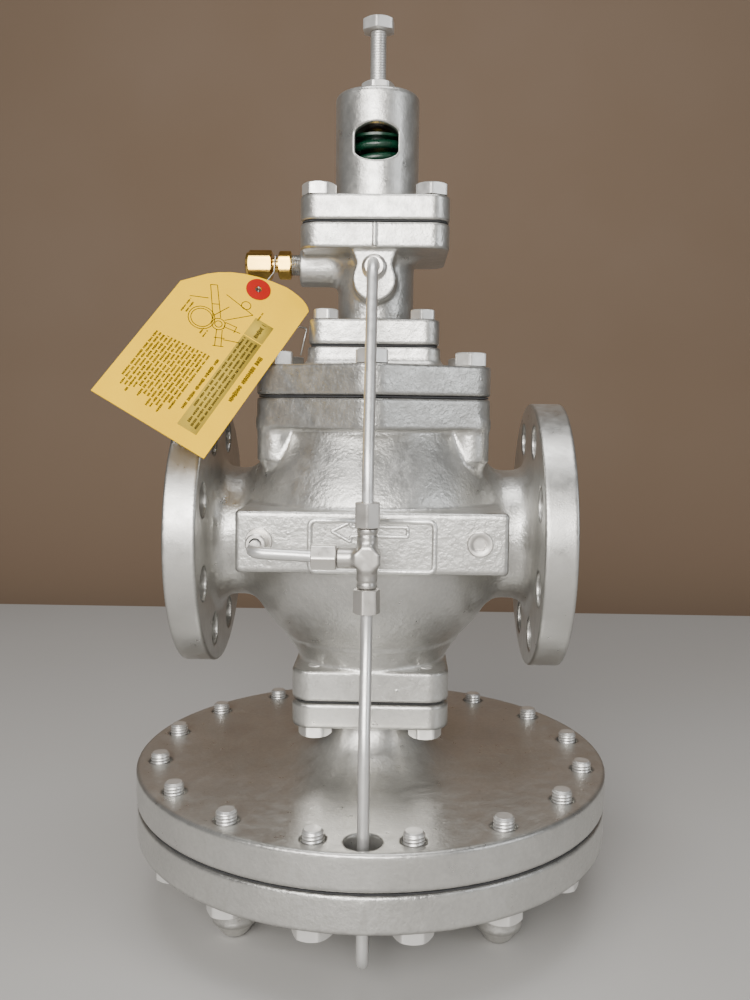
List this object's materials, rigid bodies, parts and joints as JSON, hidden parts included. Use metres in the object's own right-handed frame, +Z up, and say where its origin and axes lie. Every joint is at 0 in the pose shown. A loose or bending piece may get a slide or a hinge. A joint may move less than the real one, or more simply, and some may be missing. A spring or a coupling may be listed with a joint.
{
  "type": "pressure reducing valve",
  "caption": "Pilot-operated steam pressure reducing valve: flanged globe body, cast pilot with spring case and adjusting screw, sensing pipework and a wide round diaphragm case on feet.",
  "frame": {"origin": "on the vertical stem axis, level with the undersides of the feet", "axes": "+Z up along the stem and adjusting screw; +X towards the inlet flange, -X towards the outlet flange; -Y is the front, where the sensing pipework runs"},
  "size_m": [0.2829, 0.2804, 0.5132],
  "materials": {
    "cast_paint": "silver paint over rough sand-cast iron",
    "painted_fastener": "silver paint over smooth steel",
    "painted_pipework": "silver paint over drawn tube and fittings",
    "gasket_sheet": "dark sheet gasket",
    "stainless": "machined stainless steel",
    "spring_wire": "drawn wire",
    "green_spring": "dark green enamel",
    "brass": "bright turned brass",
    "yellow_card": "coated yellow card with grey schematic print",
    "red_ring": "matt red reinforcing ring"
  },
  "bodies": {
    "valve": {"main_body": "cast_paint", "main_cover": "cast_paint", "pilot_body": "cast_paint", "spring_case": "cast_paint", "diaphragm_case_upper": "cast_paint", "diaphragm_case_lower": "cast_paint", "cover_bolt_1": "painted_fastener", "cover_bolt_2": "painted_fastener", "cover_bolt_3": "painted_fastener", "cover_bolt_4": "painted_fastener", "cover_bolt_5": "painted_fastener", "cover_bolt_6": "painted_fastener", "spring_case_bolt_1": "painted_fastener", "spring_case_bolt_2": "painted_fastener", "spring_case_bolt_3": "painted_fastener", "spring_case_bolt_4": "painted_fastener", "pilot_bolt_1": "painted_fastener", "pilot_bolt_2": "painted_fastener", "pilot_bolt_3": "painted_fastener", "pilot_bolt_4": "painted_fastener", "neck_bolt_1": "painted_fastener", "neck_bolt_2": "painted_fastener", "neck_bolt_3": "painted_fastener", "neck_bolt_4": "painted_fastener", "pilot_port_nut": "painted_pipework", "sensing_pipe_upper": "painted_pipework", "tee_nut_top": "painted_pipework", "pipe_tee": "painted_pipework", "tee_nut_bottom": "painted_pipework", "tee_nut_side": "painted_pipework", "sensing_pipe_lower": "painted_pipework", "sensing_pipe_side": "painted_pipework", "outlet_port_connector": "painted_pipework", "inlet_port_plug": "painted_pipework", "case_connector": "painted_pipework", "main_cover_gasket": "gasket_sheet", "pilot_body_gasket": "gasket_sheet", "neck_gasket": "gasket_sheet", "pilot_diaphragm": "stainless", "pilot_valve_seat": "stainless", "pilot_screen": "stainless", "main_valve_seat": "stainless", "main_diaphragm": "stainless", "pilot_valve_spring": "spring_wire", "main_valve_spring": "spring_wire", "tag_wire": "spring_wire", "adjusting_spring": "green_spring", "sensing_adapter": "brass", "sensing_nut": "brass", "stem_guide": "brass", "instruction_tag": "yellow_card", "tag_ring": "red_ring"},
    "spring_seat": {"upper_spring_seat": "brass"},
    "screw": {"adjusting_screw": "painted_fastener"},
    "locknut": {"adjusting_screw_locknut": "painted_fastener"},
    "pilot_valve_group": {"pilot_valve": "stainless", "lower_spring_seat": "stainless"},
    "main_valve_group": {"main_valve_disc": "stainless", "main_valve_stem": "stainless", "diaphragm_pressure_plate": "stainless"}
  },
  "joints": [
    {"name": "screw_travel", "type": "slide", "parent": "valve", "child": "spring_seat", "axis": [0, 0, -1], "range_m": [0, 0.006], "deforming": ["adjusting_spring"]},
    {"name": "screw_turn", "type": "hinge", "parent": "spring_seat", "child": "screw", "pos_m": [0, 0, 0.48], "axis": [0, 0, -1], "range_deg": [0, 1440]},
    {"name": "locknut_turn", "type": "hinge", "parent": "valve", "child": "locknut", "pos_m": [0, 0, 0.4744], "axis": [0, 0, 1], "range_deg": [0, 720]},
    {"name": "pilot_valve_lift", "type": "slide", "parent": "valve", "child": "pilot_valve_group", "axis": [0, 0, -1], "range_m": [0, 0.001], "stiffness_N_per_m": 2000, "springref_m": -0.002, "deforming": ["pilot_valve_spring", "pilot_diaphragm"]},
    {"name": "main_valve_lift", "type": "slide", "parent": "valve", "child": "main_valve_group", "axis": [0, 0, 1], "range_m": [0, 0.006], "stiffness_N_per_m": 1500, "springref_m": -0.02, "deforming": ["main_valve_spring", "main_diaphragm"]}
  ],
  "couplings": [
    {"joint": "screw_turn", "follows": "screw_travel", "rad_per_m": 4188.8}
  ]
}
